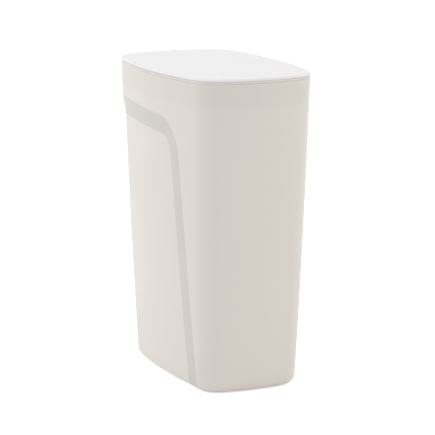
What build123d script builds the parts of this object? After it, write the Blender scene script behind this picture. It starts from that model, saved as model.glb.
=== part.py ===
"""Slim press-lid waste bin: tapered barrel, lift-off frame and a sprung flat lid. Millimetres, +Z up."""
from build123d import *
import math
import os

os.makedirs("parts", exist_ok=True)

# Overall form, the front towards -Y
lid_top_z = 350.0
foot_height = 1.0
top_width = 160.6
top_depth = 261.4
top_front_bow = 21.0
top_side_bow = 18.9
top_corner_radius = 31.5
base_width = 129.0
base_depth = 223.6
base_front_bow = 11.4
base_side_bow = 10.0
base_corner_radius = 26.2
base_edge_radius = 11.0

# Barrel wall and the recessed panel round its sides and back
wall = 2.2
floor_thickness = 2.5
recess_depth = 2.5
recess_top_drop = 45.5
recess_border = 21.4
recess_corner_radius = 38.0
recess_corner_facets = 5
shield_depth_top = 66.5
shield_depth_base = 28.0

# Lid edge and frame band, stacked down from the lid top
lid_edge = 1.8
lid_gap = 1.4
frame_band = 2.6
edge_round = 0.6
lid_edge_round = 1.1

# Lip under the lid's edge, which closes the gap and dips into a groove in the frame
lip_inset = 1.4
lip_width = 1.4
lip_gap = 0.4
lip_overlap = 0.2
lip_end = 10.0
groove_depth = 1.6

# Frame
frame_width = 10.0
skirt_gap = 0.4
skirt_wall = 1.8
skirt_depth = 26.0

# Lid box under the cover
liner_gap = 1.5
liner_depth = 7.2
liner_wall = 1.8

# Hinge at the back
axis_inset = 8.7
axis_drop = 6.0
rod_radius = 1.5
rod_fit = 0.05
knuckle_radius = 3.7
ear_radius = 3.6
inner_ear_start = 24.0
inner_ear_width = 3.0
knuckle_gap = 0.5
knuckle_width = 6.5
outer_ear_width = 3.5
trough_half_width = 54.0
trough_wall = 1.8
trough_depth = 15.2
trough_length = 16.5
notch_clearance = 0.8
arm_clearance = 0.5
wall_top_drop = 1.0

# Torsion springs on the rod
torsion_wire = 0.5
torsion_radius = 3.3
torsion_pitch = 1.8
torsion_turns = 4
torsion_start = 14.2
torsion_leg = 13.0
leg_rest_gap = 0.2
gap_samples = 240

# Damper, a pinion in mesh with a toothed sector on the lid
tooth_module = 0.75
sector_teeth = 20
pinion_teeth = 10
gear_width = 4.0
gear_side_gap = 0.6
mesh_angle = 225.0
sector_start = 204.0
sector_span = 130.0
tooth_backlash = 0.16
tooth_rise = 0.68
tooth_fall = 0.86
tip_share = 0.38
root_share = 1.55
damper_radius = 5.0
damper_length = 8.0
damper_flange = 1.6
damper_bracket = 2.0
damper_shaft_radius = 1.5
damper_shaft_depth = 2.0

# Push latch at the front
latch_pad = 3.0
latch_width = 15.0
latch_depth = 13.0
latch_height = 22.0
latch_wall = 2.0
latch_flange = 7.0
latch_flange_height = 12.0
latch_flange_thickness = 3.0
plunger_size = 7.0
plunger_fit = 0.2
plunger_length = 16.0
plunger_reach = 4.0
magnet_radius = 3.0
magnet_thickness = 2.3
magnet_proud = 0.4
magnet_gap = 1.5
magnet_fit = 0.05
latch_spring_wire = 0.3
latch_spring_radius = 2.4
latch_spring_turns = 5
cam_pin_radius = 0.5
cam_pin_fit = 0.05
cam_slot_width = 1.8
cam_slot_height = 6.0
cam_slot_depth = 1.6
strike_width = 34.0
strike_depth = 12.0
strike_thickness = 1.0
strike_shift = 3.2

# Screws, all of one small self-tapping size
screw_radius = 1.2
screw_fit = 0.05
screw_head_radius = 2.6
screw_head_height = 1.4
screw_boss_radius = 3.2
screw_slot_length = 1.3
screw_slot_width = 0.35
strike_screw_spacing = 24.0
strike_screw_length = 4.5
lid_screw_length = 5.5
latch_screw_length = 7.0
damper_screw_length = 3.2
damper_screw_radius = 0.8
damper_screw_head = 1.5
damper_screw_spacing = 13.0

# Foot pads
foot_radius = 8.0
foot_inset_x = 27.0
foot_inset_y = 34.0

# Levels that follow from the stack
base_z = foot_height
cover_bottom_z = lid_top_z - lid_edge
frame_top_z = cover_bottom_z - lid_gap
rim_z = frame_top_z - frame_band
skirt_bottom_z = rim_z - skirt_depth
liner_bottom_z = cover_bottom_z - liner_depth
recess_top_z = lid_top_z - recess_top_drop
recess_floor_z = recess_top_z - recess_border
axis_z = lid_top_z - axis_drop
axis_y = top_depth / 2 - axis_inset
trough_floor_z = axis_z - trough_depth
trough_front_y = axis_y - trough_length
notch_z = axis_z - axis_inset - notch_clearance
liner_rear_y = trough_front_y - trough_wall - liner_gap
skirt_inset = wall + skirt_gap
lip_end_y = axis_y - lip_end
reach = 2 * lid_top_z


# Bowed rectangle with round corners, one level of the tapered form
def blend(base, top, z):
    return base + (top - base) * (z - base_z) / (lid_top_z - base_z)


def level(z):
    half_width = blend(base_width, top_width, z) / 2
    half_depth = blend(base_depth, top_depth, z) / 2
    front_bow = blend(base_front_bow, top_front_bow, z)
    side_bow = blend(base_side_bow, top_side_bow, z)
    corner = blend(base_corner_radius, top_corner_radius, z)
    front_radius = (half_width**2 + front_bow**2) / (2 * front_bow)
    side_radius = (half_depth**2 + side_bow**2) / (2 * side_bow)
    return half_width, half_depth, front_radius, side_radius, corner


def side_x(y, z, inset=0.0):
    half_width, half_depth, front_radius, side_radius, corner = level(z)
    return half_width - side_radius + math.sqrt((side_radius - inset)**2 - y**2)


def back_y(x, z, inset=0.0):
    half_width, half_depth, front_radius, side_radius, corner = level(z)
    return half_depth - front_radius + math.sqrt((front_radius - inset)**2 - x**2)


def ring_points(z, inset):
    half_width, half_depth, front_radius, side_radius, corner = [size - inset for size in level(z)]
    front_centre = Vector(0, front_radius - half_depth)
    side_centre = Vector(half_width - side_radius, 0)
    apart = side_centre - front_centre
    near = front_radius - corner
    far = side_radius - corner
    along = (near**2 - far**2 + apart.length**2) / (2 * apart.length)
    across = math.sqrt(near**2 - along**2)
    heading = apart.normalized()
    sideways = Vector(-heading.Y, heading.X)
    corner_centre = front_centre + heading * along + sideways * across
    front_heading = (corner_centre - front_centre).normalized()
    side_heading = (corner_centre - side_centre).normalized()
    front_end = front_centre + front_heading * front_radius
    side_end = side_centre + side_heading * side_radius
    middle = corner_centre + (front_heading + side_heading).normalized() * corner
    quarter = [(front_end.X, front_end.Y), (middle.X, middle.Y), (side_end.X, side_end.Y)]
    front_right = quarter + [(half_width, 0)]
    back_right = [(x, -y) for x, y in reversed(quarter)] + [(0, half_depth)]
    back_left = [(-x, -y) for x, y in quarter] + [(-half_width, 0)]
    front_left = [(-x, y) for x, y in reversed(quarter)] + [(0, -half_depth)]
    return front_right + back_right + back_left + front_left


def outline(z, inset=0.0, form_z=None):
    share = ((z if form_z is None else form_z) - base_z) / (lid_top_z - base_z)
    points = []
    for low, high in zip(ring_points(base_z, inset), ring_points(lid_top_z, inset)):
        x = low[0] + (high[0] - low[0]) * share
        y = low[1] + (high[1] - low[1]) * share
        points.append(Vector(x, y, z))
    points.append(points[0])
    return Wire([Edge.make_three_point_arc(*points[i:i + 3]) for i in range(0, len(points) - 1, 2)])


def tapered(low_z, high_z, inset=0.0):
    return Solid.make_loft([outline(low_z, inset), outline(high_z, inset)], ruled=True)


def straight(low_z, high_z, inset, form_z):
    return Solid.extrude(Face(outline(low_z, inset, form_z)), Vector(0, 0, high_z - low_z))


def block(low, high):
    size = [top - bottom for bottom, top in zip(low, high)]
    middle = [(bottom + top) / 2 for bottom, top in zip(low, high)]
    return Pos(*middle) * Box(*size)


def rod(start, end, radius):
    run = Vector(*end) - Vector(*start)
    return Solid.make_cylinder(radius, run.length, Plane(origin=start, z_dir=run))


def round_base(solid, radius):
    low = solid.bounding_box().min.Z
    edges = [edge for edge in solid.edges() if edge.bounding_box().max.Z < low + edge_round]
    return solid.fillet(radius, edges)


# Barrel, whose sides and back step in below a sloped border
def shield(inset, turn):
    swing = math.radians(turn)
    half_top = level(recess_top_z)[1]
    half_base = level(base_z)[1]
    edge_top = shield_depth_top - half_top
    edge_base = shield_depth_base - half_base
    centre_y = edge_top + recess_corner_radius
    centre_z = recess_top_z - recess_corner_radius
    y = centre_y - recess_corner_radius * math.cos(swing)
    z = centre_z + recess_corner_radius * math.sin(swing)
    lean = (edge_top - edge_base) / (recess_top_z - base_z) * math.cos(swing)
    x = side_x(y, z, inset)
    step = recess_depth
    side_radius = level(z)[3]
    along_y = Vector((side_x(y + step, z) - side_x(y - step, z)) / (2 * step), 1, 0).normalized()
    along_z = Vector((side_x(y, z + step) - side_x(y, z - step)) / (2 * step), 0, 1).normalized()
    outward = along_y.cross(along_z)
    inward_run = (along_y * math.cos(swing) - along_z * (math.sin(swing) + lean)).normalized()
    bow_drop = (recess_border * math.cos(swing))**2 / (2 * side_radius)
    slope = (recess_depth + bow_drop) / recess_border
    edge = Vector(x, y, z)
    foot = edge + inward_run * recess_border - outward * (recess_depth + bow_drop)
    front = block((-reach, -reach, -reach), (reach, centre_y, recess_top_z + recess_border))
    for spot, steepness in ((edge, slope), (foot, 1.0)):
        facing = outward + inward_run * steepness
        right = Plane(origin=spot, z_dir=facing) * (Pos(0, 0, reach) * Box(4 * reach, 4 * reach, 2 * reach))
        front = front - right - right.mirror(Plane.YZ)
    return front


def barrel_form(low_z, high_z, inset, bottom_radius):
    outer = round_base(tapered(low_z, high_z, inset), bottom_radius)
    inner = round_base(tapered(low_z, recess_floor_z, inset + recess_depth), bottom_radius)
    flare_top = recess_top_z + recess_border
    flare = Solid.make_loft(
        [outline(recess_floor_z, inset + recess_depth), outline(flare_top, inset - recess_depth)], ruled=True)
    above = block((-reach, -reach, flare_top), (reach, reach, reach))
    keep = inner + flare + above
    for facet in range(recess_corner_facets):
        keep = keep + shield(inset, 90.0 * facet / recess_corner_facets)
    return outer & keep


def hinge_notch():
    return block((-trough_half_width, trough_front_y, notch_z), (trough_half_width, reach, reach))


def make_barrel():
    outside = barrel_form(base_z, rim_z, 0.0, base_edge_radius)
    inside = barrel_form(base_z + floor_thickness, lid_top_z, wall, base_edge_radius - wall)
    return outside - inside - hinge_notch()


def make_foot(x, y):
    pad = rod((x, y, 0), (x, y, foot_height), foot_radius)
    return pad.fillet(foot_height / 3, pad.edges().group_by(Axis.Z)[0])


# Frame: band on the rim, skirt inside the barrel, hinge trough at the back, latch pad at the front
latch_face_y = -back_y(0, rim_z - skirt_depth / 2, skirt_inset + skirt_wall) + latch_pad
latch_top_z = liner_bottom_z - strike_thickness - magnet_gap - magnet_proud - plunger_reach
latch_bottom_z = latch_top_z - latch_height
latch_y = latch_face_y + latch_depth / 2
latch_screw_x = (latch_width + latch_flange) / 2
latch_screw_z = latch_top_z - latch_height / 2
latch_half = latch_width / 2 + latch_flange
outer_ear_start = inner_ear_start + inner_ear_width + 2 * knuckle_gap + knuckle_width
rod_half = outer_ear_start + outer_ear_width
knuckle_start = inner_ear_start + inner_ear_width + knuckle_gap
ear_spans = [(inner_ear_start, inner_ear_width), (outer_ear_start, outer_ear_width)]
sector_pitch_radius = tooth_module * sector_teeth / 2
pinion_pitch_radius = tooth_module * pinion_teeth / 2
mesh_distance = sector_pitch_radius + pinion_pitch_radius
damper_y = axis_y + mesh_distance * math.cos(math.radians(mesh_angle))
damper_z = axis_z + mesh_distance * math.sin(math.radians(mesh_angle))
bracket_x = gear_width / 2 + gear_side_gap
damper_x = bracket_x + damper_bracket


def both_sides(make):
    right = make()
    return right + right.mirror(Plane.YZ)


def ear(start, width):
    end = start + width
    post = block((start, trough_front_y, trough_floor_z), (end, axis_y, axis_z))
    top = rod((start, axis_y, axis_z), (end, axis_y, axis_z), ear_radius)
    return post + top


def spring_rest():
    top = axis_z - torsion_radius - torsion_wire - leg_rest_gap
    half = 2 * torsion_wire
    low = (torsion_start - half, trough_front_y, trough_floor_z)
    return block(low, (torsion_start + half, axis_y - torsion_leg / 2, top))


def damper_screw_spots():
    half = damper_screw_spacing / 2
    turn = math.radians(mesh_angle + 90)
    step = (half * math.cos(turn), half * math.sin(turn))
    return [(damper_y + step[0], damper_z + step[1]), (damper_y - step[0], damper_z - step[1])]


def lip_ring(low_z, high_z, outer_inset, inner_inset, end_y):
    outer = straight(low_z, high_z, outer_inset, lid_top_z)
    ring = outer - straight(low_z, high_z, inner_inset, lid_top_z)
    return ring & block((-reach, -reach, 0), (reach, end_y, reach))


def make_frame():
    band = tapered(rim_z, frame_top_z)
    mouth = straight(trough_floor_z, lid_top_z, frame_width, rim_z)
    mouth = mouth & block((-reach, -reach, 0), (reach, trough_front_y - trough_wall, reach))
    low_edges = band.edges().group_by(Axis.Z)[0]
    top_edges = band.edges().group_by(Axis.Z)[-1]
    band = band.fillet(edge_round, low_edges + top_edges) - mouth
    half = trough_half_width + trough_wall
    trough = block((-half, trough_front_y - trough_wall, trough_floor_z - trough_wall), (half, reach, reach))
    pad = block((-latch_half, -reach, 0), (latch_half, latch_face_y, latch_top_z))
    hollow = tapered(skirt_bottom_z - frame_band, frame_top_z, skirt_inset + skirt_wall) - trough - pad
    skirt = tapered(skirt_bottom_z, rim_z + frame_band / 2, skirt_inset) - hollow
    cavity = block((-trough_half_width, trough_front_y, trough_floor_z), (trough_half_width, reach, reach))
    over_wall = block((-trough_half_width, 0, axis_z - wall_top_drop), (trough_half_width, reach, reach))
    groove_floor_z = frame_top_z - groove_depth
    groove_inner = lip_inset + lip_width + lip_gap
    groove = lip_ring(groove_floor_z, lid_top_z, lip_inset - lip_gap, groove_inner, lip_end_y + lip_gap)
    frame = band + skirt - cavity - over_wall - groove
    for start, width in ear_spans:
        frame = frame + both_sides(lambda: ear(start, width))
    frame = frame + both_sides(spring_rest)
    bracket_low = (bracket_x, trough_front_y, trough_floor_z)
    bracket_high = (damper_x, damper_y + damper_radius, damper_z + damper_radius)
    frame = frame + block(bracket_low, bracket_high)
    frame = frame - rod((-rod_half, axis_y, axis_z), (rod_half, axis_y, axis_z), rod_radius + rod_fit)
    shaft_hole = damper_shaft_radius + rod_fit
    frame = frame - rod((0, damper_y, damper_z), (damper_x, damper_y, damper_z), shaft_hole)
    for y, z in damper_screw_spots():
        frame = frame - rod((bracket_x, y, z), (damper_x, y, z), damper_screw_radius + screw_fit)
    for side in (-1, 1):
        x = side * latch_screw_x
        tip = latch_face_y + latch_flange_thickness - latch_screw_length - screw_fit
        hole = rod((x, latch_face_y, latch_screw_z), (x, tip, latch_screw_z), screw_radius + screw_fit)
        frame = frame - hole
    return frame


# Lid: cover, liner with knuckles and toothed sector, strike plate
liner_inset = frame_width + liner_gap
lid_screw_x = top_width / 2 - liner_inset - 2 * screw_boss_radius - top_side_bow / 2
lid_screw_ys = [-top_depth / 4 - liner_inset, 0.0, liner_rear_y - 3 * screw_boss_radius]
lid_screw_spots = [(side * lid_screw_x, y) for side in (-1, 1) for y in lid_screw_ys]
liner_floor_z = liner_bottom_z + liner_wall
strike_y = latch_y + strike_shift
strike_screw_spots = [(side * strike_screw_spacing / 2, strike_y) for side in (-1, 1)]


def make_cover():
    plate = straight(cover_bottom_z, lid_top_z, 0.0, lid_top_z)
    plate = plate.fillet(lid_edge_round, plate.edges().group_by(Axis.Z)[-1])
    lip_low_z = frame_top_z - lip_overlap
    plate = plate + lip_ring(lip_low_z, cover_bottom_z, lip_inset, lip_inset + lip_width, lip_end_y)
    for x, y in lid_screw_spots:
        boss = rod((x, y, liner_floor_z), (x, y, cover_bottom_z), screw_boss_radius)
        hole_top = liner_bottom_z + screw_head_height + lid_screw_length
        plate = plate + boss - rod((x, y, liner_floor_z), (x, y, hole_top), screw_radius + screw_fit)
    return plate


def toothed(teeth, count, first_angle):
    pitch_radius = tooth_module * teeth / 2
    tip = pitch_radius + tooth_rise
    root = pitch_radius - tooth_fall
    pitch = 360.0 / teeth
    half_pitch_tooth = math.degrees((math.pi * tooth_module / 2 - tooth_backlash) / 2 / pitch_radius)
    points = []
    for tooth in range(count):
        middle = first_angle + tooth * pitch
        flank = [(root, root_share), (pitch_radius, 1.0), (tip, tip_share)]
        rising = [(radius, -share) for radius, share in flank]
        for radius, share in rising + flank[::-1]:
            angle = math.radians(middle + share * half_pitch_tooth)
            points.append((radius * math.cos(angle), radius * math.sin(angle)))
    if count < teeth:
        points.append((0.0, 0.0))
    profile = Face(Wire.make_polygon([(0, y, z) for y, z in points], close=True))
    return Pos(-gear_width / 2, 0, 0) * Solid.extrude(profile, Vector(gear_width, 0, 0))


def arm(start, width):
    low = (start, liner_rear_y - liner_wall, axis_z + arm_clearance)
    beam = block(low, (start + width, axis_y, cover_bottom_z))
    return beam + rod((start, axis_y, axis_z), (start + width, axis_y, axis_z), knuckle_radius)


def make_liner():
    tray = straight(liner_bottom_z, cover_bottom_z, liner_inset, rim_z)
    tray = tray & block((-reach, -reach, 0), (reach, liner_rear_y, reach))
    tray = tray.fillet(edge_round, tray.edges().group_by(Axis.Z)[0])
    hollow = straight(liner_floor_z, cover_bottom_z, liner_inset + liner_wall, rim_z)
    hollow = hollow & block((-reach, -reach, 0), (reach, liner_rear_y - liner_wall, reach))
    liner = tray - hollow + both_sides(lambda: arm(knuckle_start, knuckle_width))
    liner = liner + arm(-gear_width / 2, gear_width)
    pitch = 360.0 / sector_teeth
    count = round(sector_span / pitch)
    first = mesh_angle + pitch * (round((sector_start - mesh_angle) / pitch) + 0.5)
    liner = liner + Pos(0, axis_y, axis_z) * toothed(sector_teeth, count, first)
    for x, y in lid_screw_spots:
        head_top = liner_bottom_z + screw_head_height
        liner = liner - rod((x, y, liner_bottom_z), (x, y, head_top), screw_head_radius + screw_fit)
        liner = liner - rod((x, y, liner_bottom_z), (x, y, cover_bottom_z), screw_radius + screw_fit)
    for x, y in strike_screw_spots:
        boss_top = liner_bottom_z + strike_screw_length + liner_wall / 2
        hole_top = liner_bottom_z + strike_screw_length
        liner = liner + rod((x, y, liner_floor_z), (x, y, boss_top), screw_boss_radius)
        liner = liner - rod((x, y, liner_bottom_z), (x, y, hole_top), screw_radius + screw_fit)
    bore_end = rod_half + rod_fit
    return liner - rod((-bore_end, axis_y, axis_z), (bore_end, axis_y, axis_z), rod_radius + rod_fit)


def make_strike():
    low = (-strike_width / 2, strike_y - strike_depth / 2, liner_bottom_z - strike_thickness)
    plate = block(low, (strike_width / 2, strike_y + strike_depth / 2, liner_bottom_z))
    plate = plate.fillet(2 * edge_round, plate.edges().filter_by(Axis.Z))
    for x, y in strike_screw_spots:
        plate = plate - rod((x, y, low[2]), (x, y, liner_bottom_z), screw_radius + screw_fit)
    return plate


def screw(seat, direction, length, radius=screw_radius, head_radius=screw_head_radius):
    aim = Vector(*direction)
    start = Vector(*seat)
    head = rod(start, start - aim * screw_head_height, head_radius)
    shank = rod(start, start + aim * length, radius)
    slot_size = (head_radius * screw_slot_length, head_radius * screw_slot_width, screw_head_height)
    slot = Box(*slot_size) + Rot(0, 0, 90) * Box(*slot_size)
    return head + shank - Plane(origin=start - aim * screw_head_height, z_dir=aim) * slot


# Hinge rod and torsion springs
def make_rod():
    bar = rod((-rod_half, axis_y, axis_z), (rod_half, axis_y, axis_z), rod_radius)
    return bar.chamfer(rod_radius / 5, None, bar.edges().filter_by(GeomType.CIRCLE))


def biarc(start, start_run, end, end_run):
    gap = end - start
    run_sum = start_run + end_run
    a = 2 * (1 - start_run.dot(end_run))
    b = 2 * gap.dot(run_sum)
    c = -gap.dot(gap)
    length = -c / b if abs(a) < 1e-9 else (-b + math.sqrt(b * b - 4 * a * c)) / (2 * a)
    joint = (start + start_run * length + end - end_run * length) * 0.5
    joint_run = (end - end_run * length - start - start_run * length).normalized()
    return [Edge.make_tangent_arc(start, start_run, joint), Edge.make_tangent_arc(joint, joint_run, end)]


def coil_edges(radius, pitch, turns, flat_ends):
    steps = round(turns * 4)
    points = []
    runs = []
    for step in range(steps + 1):
        angle = step * math.pi / 2
        points.append(Vector(radius * math.cos(angle), radius * math.sin(angle), pitch * step / 4))
        rise = 0.0 if flat_ends and step in (0, steps) else pitch / (2 * math.pi)
        runs.append(Vector(-radius * math.sin(angle), radius * math.cos(angle), rise).normalized())
    edges = []
    for step in range(steps):
        edges += biarc(points[step], runs[step], points[step + 1], runs[step + 1])
    return edges, points, runs


def wire_tube(edges, start, run, radius):
    section = Face(Wire.make_circle(radius, Plane(origin=start, z_dir=run)))
    return Solid.sweep(section, Wire(edges))


def least_gap(edges, wire_radius, turn_length):
    path = Wire(edges)
    count = gap_samples
    spots = [path.position_at(i / count) for i in range(count + 1)]
    skip = int(turn_length / 2 / path.length * count) + 1
    gaps = [(spots[i] - spots[j]).length for i in range(count + 1) for j in range(i + skip, count + 1)]
    return min(gaps) - 2 * wire_radius


def make_torsion():
    edges, points, runs = coil_edges(torsion_radius, torsion_pitch, torsion_turns + 0.5, True)
    first = points[0] - runs[0] * torsion_leg
    last = points[-1] + runs[-1] * torsion_leg
    edges = [Edge.make_line(first, points[0])] + edges + [Edge.make_line(points[-1], last)]
    turn_length = 2 * math.pi * torsion_radius
    print("torsion spring least gap", round(least_gap(edges, torsion_wire, turn_length), 2))
    spring = wire_tube(edges, first, runs[0], torsion_wire)
    place = Plane(origin=(torsion_start, axis_y, axis_z), x_dir=(0, 0, -1), z_dir=(1, 0, 0))
    return place * spring


# Damper
def make_damper():
    x = damper_x
    body = rod((x, damper_y, damper_z), (x + damper_length, damper_y, damper_z), damper_radius)
    body = body.fillet(edge_round, [body.edges().filter_by(GeomType.CIRCLE).sort_by(Axis.X)[-1]])
    for y, z in damper_screw_spots():
        lug = rod((x, y, z), (x + damper_flange, y, z), 2 * damper_screw_radius)
        body = body + lug
    for y, z in damper_screw_spots():
        body = body - rod((x, y, z), (x + damper_flange, y, z), damper_screw_radius + screw_fit)
    hole_end = x + damper_shaft_depth + 2 * rod_fit
    return body - rod((x, damper_y, damper_z), (hole_end, damper_y, damper_z), damper_shaft_radius + rod_fit)


def make_pinion():
    gear = Pos(0, damper_y, damper_z) * toothed(pinion_teeth, pinion_teeth, mesh_angle + 180.0)
    shaft_end = damper_x + damper_shaft_depth
    shaft = rod((-gear_width / 2, damper_y, damper_z), (shaft_end, damper_y, damper_z), damper_shaft_radius)
    return gear + shaft


# Push latch
cavity_half = plunger_size / 2 + plunger_fit
latch_floor_z = latch_bottom_z + latch_wall
plunger_top_z = latch_top_z + plunger_reach
plunger_bottom_z = plunger_top_z - plunger_length
cam_z = latch_top_z - cam_slot_height
cam_face_y = latch_y + plunger_size / 2


def make_latch_housing():
    low = (-latch_width / 2, latch_face_y, latch_bottom_z)
    body = block(low, (latch_width / 2, latch_face_y + latch_depth, latch_top_z))
    body = body.fillet(2 * edge_round, body.edges().filter_by(Axis.Z).group_by(Axis.Y)[-1])
    half = latch_flange_height / 2
    flange = block((-latch_half, latch_face_y, latch_screw_z - half),
                   (latch_half, latch_face_y + latch_flange_thickness, latch_screw_z + half))
    flange = flange.fillet(4 * edge_round, flange.edges().filter_by(Axis.Y))
    well_low = (-cavity_half, latch_y - cavity_half, latch_floor_z)
    housing = body + flange - block(well_low, (cavity_half, latch_y + cavity_half, latch_top_z))
    for side in (-1, 1):
        x = side * latch_screw_x
        back = latch_face_y + latch_flange_thickness
        hole = rod((x, latch_face_y, latch_screw_z), (x, back, latch_screw_z), screw_radius + screw_fit)
        housing = housing - hole
    outer_y = latch_face_y + latch_depth
    return housing - rod((0, latch_y, cam_z), (0, outer_y, cam_z), cam_pin_radius + cam_pin_fit)


def make_plunger():
    half = plunger_size / 2
    body = block((-half, latch_y - half, plunger_bottom_z), (half, latch_y + half, plunger_top_z))
    body = body.fillet(edge_round, body.edges().filter_by(Axis.Z))
    pocket_z = plunger_top_z + magnet_proud - magnet_thickness
    body = body - rod((0, latch_y, pocket_z), (0, latch_y, plunger_top_z), magnet_radius + magnet_fit)
    slot_half = cam_slot_width / 2
    slot = block((-slot_half, cam_face_y - cam_slot_depth, cam_z - cam_slot_height / 2),
                 (slot_half, cam_face_y, cam_z + cam_slot_height / 2))
    return body - slot


def make_magnet():
    top = plunger_top_z + magnet_proud
    return rod((0, latch_y, top - magnet_thickness), (0, latch_y, top), magnet_radius)


def make_latch_spring():
    height = plunger_bottom_z - latch_floor_z - 2 * latch_spring_wire - 2 * plunger_fit
    pitch = height / latch_spring_turns
    edges, points, runs = coil_edges(latch_spring_radius, pitch, latch_spring_turns, False)
    turn_length = 2 * math.pi * latch_spring_radius
    print("latch spring least gap", round(least_gap(edges, latch_spring_wire, turn_length), 2))
    spring = wire_tube(edges, points[0], runs[0], latch_spring_wire)
    return Pos(0, latch_y, latch_floor_z + latch_spring_wire + plunger_fit) * spring


def make_cam_pin():
    outer_y = latch_face_y + latch_depth
    return rod((0, cam_face_y - cam_slot_depth / 2, cam_z), (0, outer_y, cam_z), cam_pin_radius)


def group(solids):
    return Compound(children=solids)


def save(name, shape):
    export_step(shape, "parts/" + name + ".step")


save("barrel", make_barrel())
for row, row_name in ((-1, "front"), (1, "back")):
    for side, side_name in ((-1, "left"), (1, "right")):
        x = side * (base_width / 2 - foot_inset_x)
        y = row * (base_depth / 2 - foot_inset_y)
        save("foot_" + row_name + "_" + side_name, make_foot(x, y))
save("top_frame", make_frame())
save("lid_cover", make_cover())
save("lid_liner", make_liner())
save("strike_plate", make_strike())
save("hinge_rod", make_rod())
torsion_right = make_torsion()
save("torsion_spring_right", torsion_right)
save("torsion_spring_left", torsion_right.mirror(Plane.YZ))
save("damper_body", make_damper())
save("damper_pinion", make_pinion())
save("latch_housing", make_latch_housing())
save("latch_plunger", make_plunger())
save("latch_magnet", make_magnet())
save("latch_spring", make_latch_spring())
save("latch_cam_pin", make_cam_pin())
head_seat_z = liner_bottom_z + screw_head_height
lid_seats = [(x, y, head_seat_z) for x, y in lid_screw_spots]
save("lid_screws", group([screw(seat, (0, 0, 1), lid_screw_length) for seat in lid_seats]))
strike_seat_z = liner_bottom_z - strike_thickness
strike_seats = [(x, y, strike_seat_z) for x, y in strike_screw_spots]
strike_length = strike_screw_length + strike_thickness
save("strike_screws", group([screw(seat, (0, 0, 1), strike_length) for seat in strike_seats]))
latch_seat_y = latch_face_y + latch_flange_thickness
latch_seats = [(side * latch_screw_x, latch_seat_y, latch_screw_z) for side in (-1, 1)]
save("latch_screws", group([screw(seat, (0, -1, 0), latch_screw_length) for seat in latch_seats]))
damper_seats = [(damper_x + damper_flange, y, z) for y, z in damper_screw_spots()]
damper_size = (damper_screw_length, damper_screw_radius, damper_screw_head)
save("damper_screws", group([screw(seat, (-1, 0, 0), *damper_size) for seat in damper_seats]))
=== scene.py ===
"""Slim press-lid waste bin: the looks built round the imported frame, laid out as an add-on."""
import math

import bmesh
import bpy
from bpy.props import FloatProperty, FloatVectorProperty, IntProperty, PointerProperty
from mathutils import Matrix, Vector


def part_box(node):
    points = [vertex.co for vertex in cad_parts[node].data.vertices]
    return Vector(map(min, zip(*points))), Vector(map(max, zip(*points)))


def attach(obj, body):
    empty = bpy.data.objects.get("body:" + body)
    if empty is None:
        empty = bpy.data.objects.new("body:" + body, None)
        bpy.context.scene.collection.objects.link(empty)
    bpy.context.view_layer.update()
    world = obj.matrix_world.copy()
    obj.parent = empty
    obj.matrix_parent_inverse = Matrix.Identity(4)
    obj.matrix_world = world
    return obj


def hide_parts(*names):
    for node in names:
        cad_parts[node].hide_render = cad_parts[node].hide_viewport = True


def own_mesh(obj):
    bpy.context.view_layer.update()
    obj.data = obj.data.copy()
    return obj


bl_info = {
    "name": "Press-Lid Waste Bin",
    "version": (1, 0, 0),
    "blender": (4, 5, 0),
    "location": "3D View > Sidebar > Waste Bin",
    "description": "Builds the barrel, the lid and the finishes of a slim press-lid waste bin",
    "category": "Add Mesh",
}

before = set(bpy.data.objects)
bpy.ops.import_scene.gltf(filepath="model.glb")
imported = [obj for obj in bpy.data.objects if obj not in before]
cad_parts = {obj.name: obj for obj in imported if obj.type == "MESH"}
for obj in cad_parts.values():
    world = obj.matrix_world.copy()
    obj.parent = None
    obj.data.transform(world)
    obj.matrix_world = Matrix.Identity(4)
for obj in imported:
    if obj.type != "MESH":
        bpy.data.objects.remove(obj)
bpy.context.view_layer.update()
COVER_LOW, COVER_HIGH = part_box("lid_cover")
BARREL_LOW, BARREL_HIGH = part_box("barrel")
FRAME_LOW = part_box("top_frame")[0]

# Steps along each arc of the outline, in order round the bin from the front right corner
ARC_STEPS = (14, 96, 14, 48, 14, 96, 14, 48)
# Numbers of some of those arcs, and the place of the back's middle
RIGHT_SIDE = 1
BACK_RIGHT_CORNER = 2
BACK_MIDDLE = 3.5
LEFT_SIDE = 5
# Zones of the barrel's sides, from the front: where each ends along the arc, and its steps
SIDE_ZONES = ((0.06, 4), (0.36, 72), (1.0, 40))
# Halvings in the search for a place on the outline
HALVINGS = 50

# Spacing of the rows up the barrel's wall
FINE_ROW = 0.0015
COARSE_ROW = 0.007
# Rings that fill the barrel's floor and the lid, as shares of their edge
FLOOR_RINGS = (0.985, 0.75, 0.4)
LID_RINGS = (0.8, 0.45)
# Steps round edges, bosses, the coil and its wire
ROUND_STEPS = 8
LOWER_ROUND_STEPS = 3
RIM_SEGMENTS = 2
BOSS_SIDES = 28
COIL_STEPS = 32
WIRE_SIDES = 12
# Edges that are steeper than these are rounded, or shaded as sharp
SHARP_EDGE = math.radians(50)
SHARP_SHADE = math.radians(35)
# How far the lip and the bosses reach into the lid, as a share of its edge, and their chamfers
SUNK_SHARE = 0.25
LIP_CHAMFER = 1 / 6
BOSS_CHAMFER = 0.25
# The least that the lid's edge hangs lower
EDGE_LEAST = 0.00002
# How near to each other points belong to the same screw
SCREW_REACH = 0.012

# The barrel's attribute that says how far a point lies inside the recess, and its value elsewhere
RECESS_RUN = "recess_run"
NO_RECESS = -1.0


# Properties

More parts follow.
